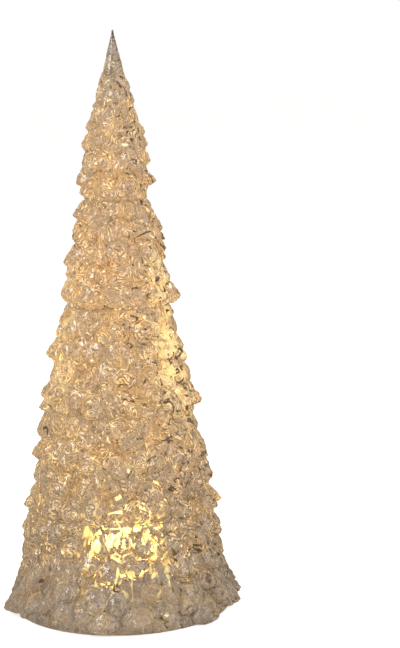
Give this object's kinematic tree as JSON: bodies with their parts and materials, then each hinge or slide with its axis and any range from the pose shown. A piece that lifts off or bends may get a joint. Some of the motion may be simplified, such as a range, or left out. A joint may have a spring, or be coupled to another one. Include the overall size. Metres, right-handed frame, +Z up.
{
  "type": "artificial tabletop tree",
  "caption": "Clear acrylic tabletop tree of stacked mouldings with rows of pointed branch tips, lit warm white from inside by battery lamps in its base.",
  "frame": {"origin": "centre of the rim that the tree stands on", "axes": "+Z up along the tree's axis; the front, with the switch, faces -Y; the battery door hinges at -X"},
  "size_m": [0.1306, 0.1306, 0.32],
  "materials": {
    "clear_acrylic": "clear, warm-tinted, moulded gloss",
    "tray_plastic": "fine satin texture",
    "cell_wrap": "printed film wrap, plain",
    "nickel_steel": "nickel plated",
    "switch_resin": "moulded phenolic",
    "black_plastic": "satin",
    "board_white": "white solder mask",
    "lamp_resin": "clear resin, lit warm white",
    "resistor_lacquer": "lacquered",
    "wire_red": "smooth insulation",
    "wire_black": "smooth insulation"
  },
  "bodies": {
    "tree": {"tier_1": "clear_acrylic", "tier_2": "clear_acrylic", "tier_3": "clear_acrylic", "tier_4": "clear_acrylic", "tier_5_spire": "clear_acrylic", "base_tray": "tray_plastic", "contact_spring_1": "nickel_steel", "contact_spring_2": "nickel_steel", "contact_spring_3": "nickel_steel", "contact_positive": "nickel_steel", "contact_link_near": "nickel_steel", "contact_link_far": "nickel_steel", "contact_negative": "nickel_steel", "tray_screw_1": "nickel_steel", "tray_screw_2": "nickel_steel", "tray_screw_3": "nickel_steel", "tray_screw_4": "nickel_steel", "switch_screw_1": "nickel_steel", "switch_screw_2": "nickel_steel", "board_screw_1": "nickel_steel", "board_screw_2": "nickel_steel", "board_screw_3": "nickel_steel", "switch_frame": "nickel_steel", "switch_housing": "switch_resin", "lamp_board": "board_white", "lamp_1": "lamp_resin", "lamp_2": "lamp_resin", "lamp_3": "lamp_resin", "lamp_4": "lamp_resin", "lamp_5": "lamp_resin", "lamp_6": "lamp_resin", "resistor_1": "resistor_lacquer", "resistor_2": "resistor_lacquer", "wire_to_switch": "wire_red", "wire_to_board": "wire_red", "wire_to_cells": "wire_black"},
    "door": {"battery_door": "tray_plastic"},
    "knob": {"switch_knob": "black_plastic"},
    "cell_1": {"battery_cell_1": "cell_wrap"},
    "cell_2": {"battery_cell_2": "cell_wrap"},
    "cell_3": {"battery_cell_3": "cell_wrap"}
  },
  "joints": [
    {"name": "door_hinge", "type": "hinge", "parent": "tree", "child": "door", "pos_m": [-0.0282, 0, 0.0015], "axis": [0, 1, 0], "range_deg": [0, 75]},
    {"name": "switch_slide", "type": "slide", "parent": "tree", "child": "knob", "axis": [-1, 0, 0], "range_m": [0, 0.0024]},
    {"name": "cell_1_press", "type": "slide", "parent": "tree", "child": "cell_1", "axis": [1, 0, 0], "range_m": [0, 0.0015], "stiffness_N_per_m": 400, "springref_m": -0.002, "deforming": ["contact_spring_1"]},
    {"name": "cell_2_press", "type": "slide", "parent": "tree", "child": "cell_2", "axis": [-1, 0, 0], "range_m": [0, 0.0015], "stiffness_N_per_m": 400, "springref_m": -0.002, "deforming": ["contact_spring_2"]},
    {"name": "cell_3_press", "type": "slide", "parent": "tree", "child": "cell_3", "axis": [1, 0, 0], "range_m": [0, 0.0015], "stiffness_N_per_m": 400, "springref_m": -0.002, "deforming": ["contact_spring_3"]}
  ]
}
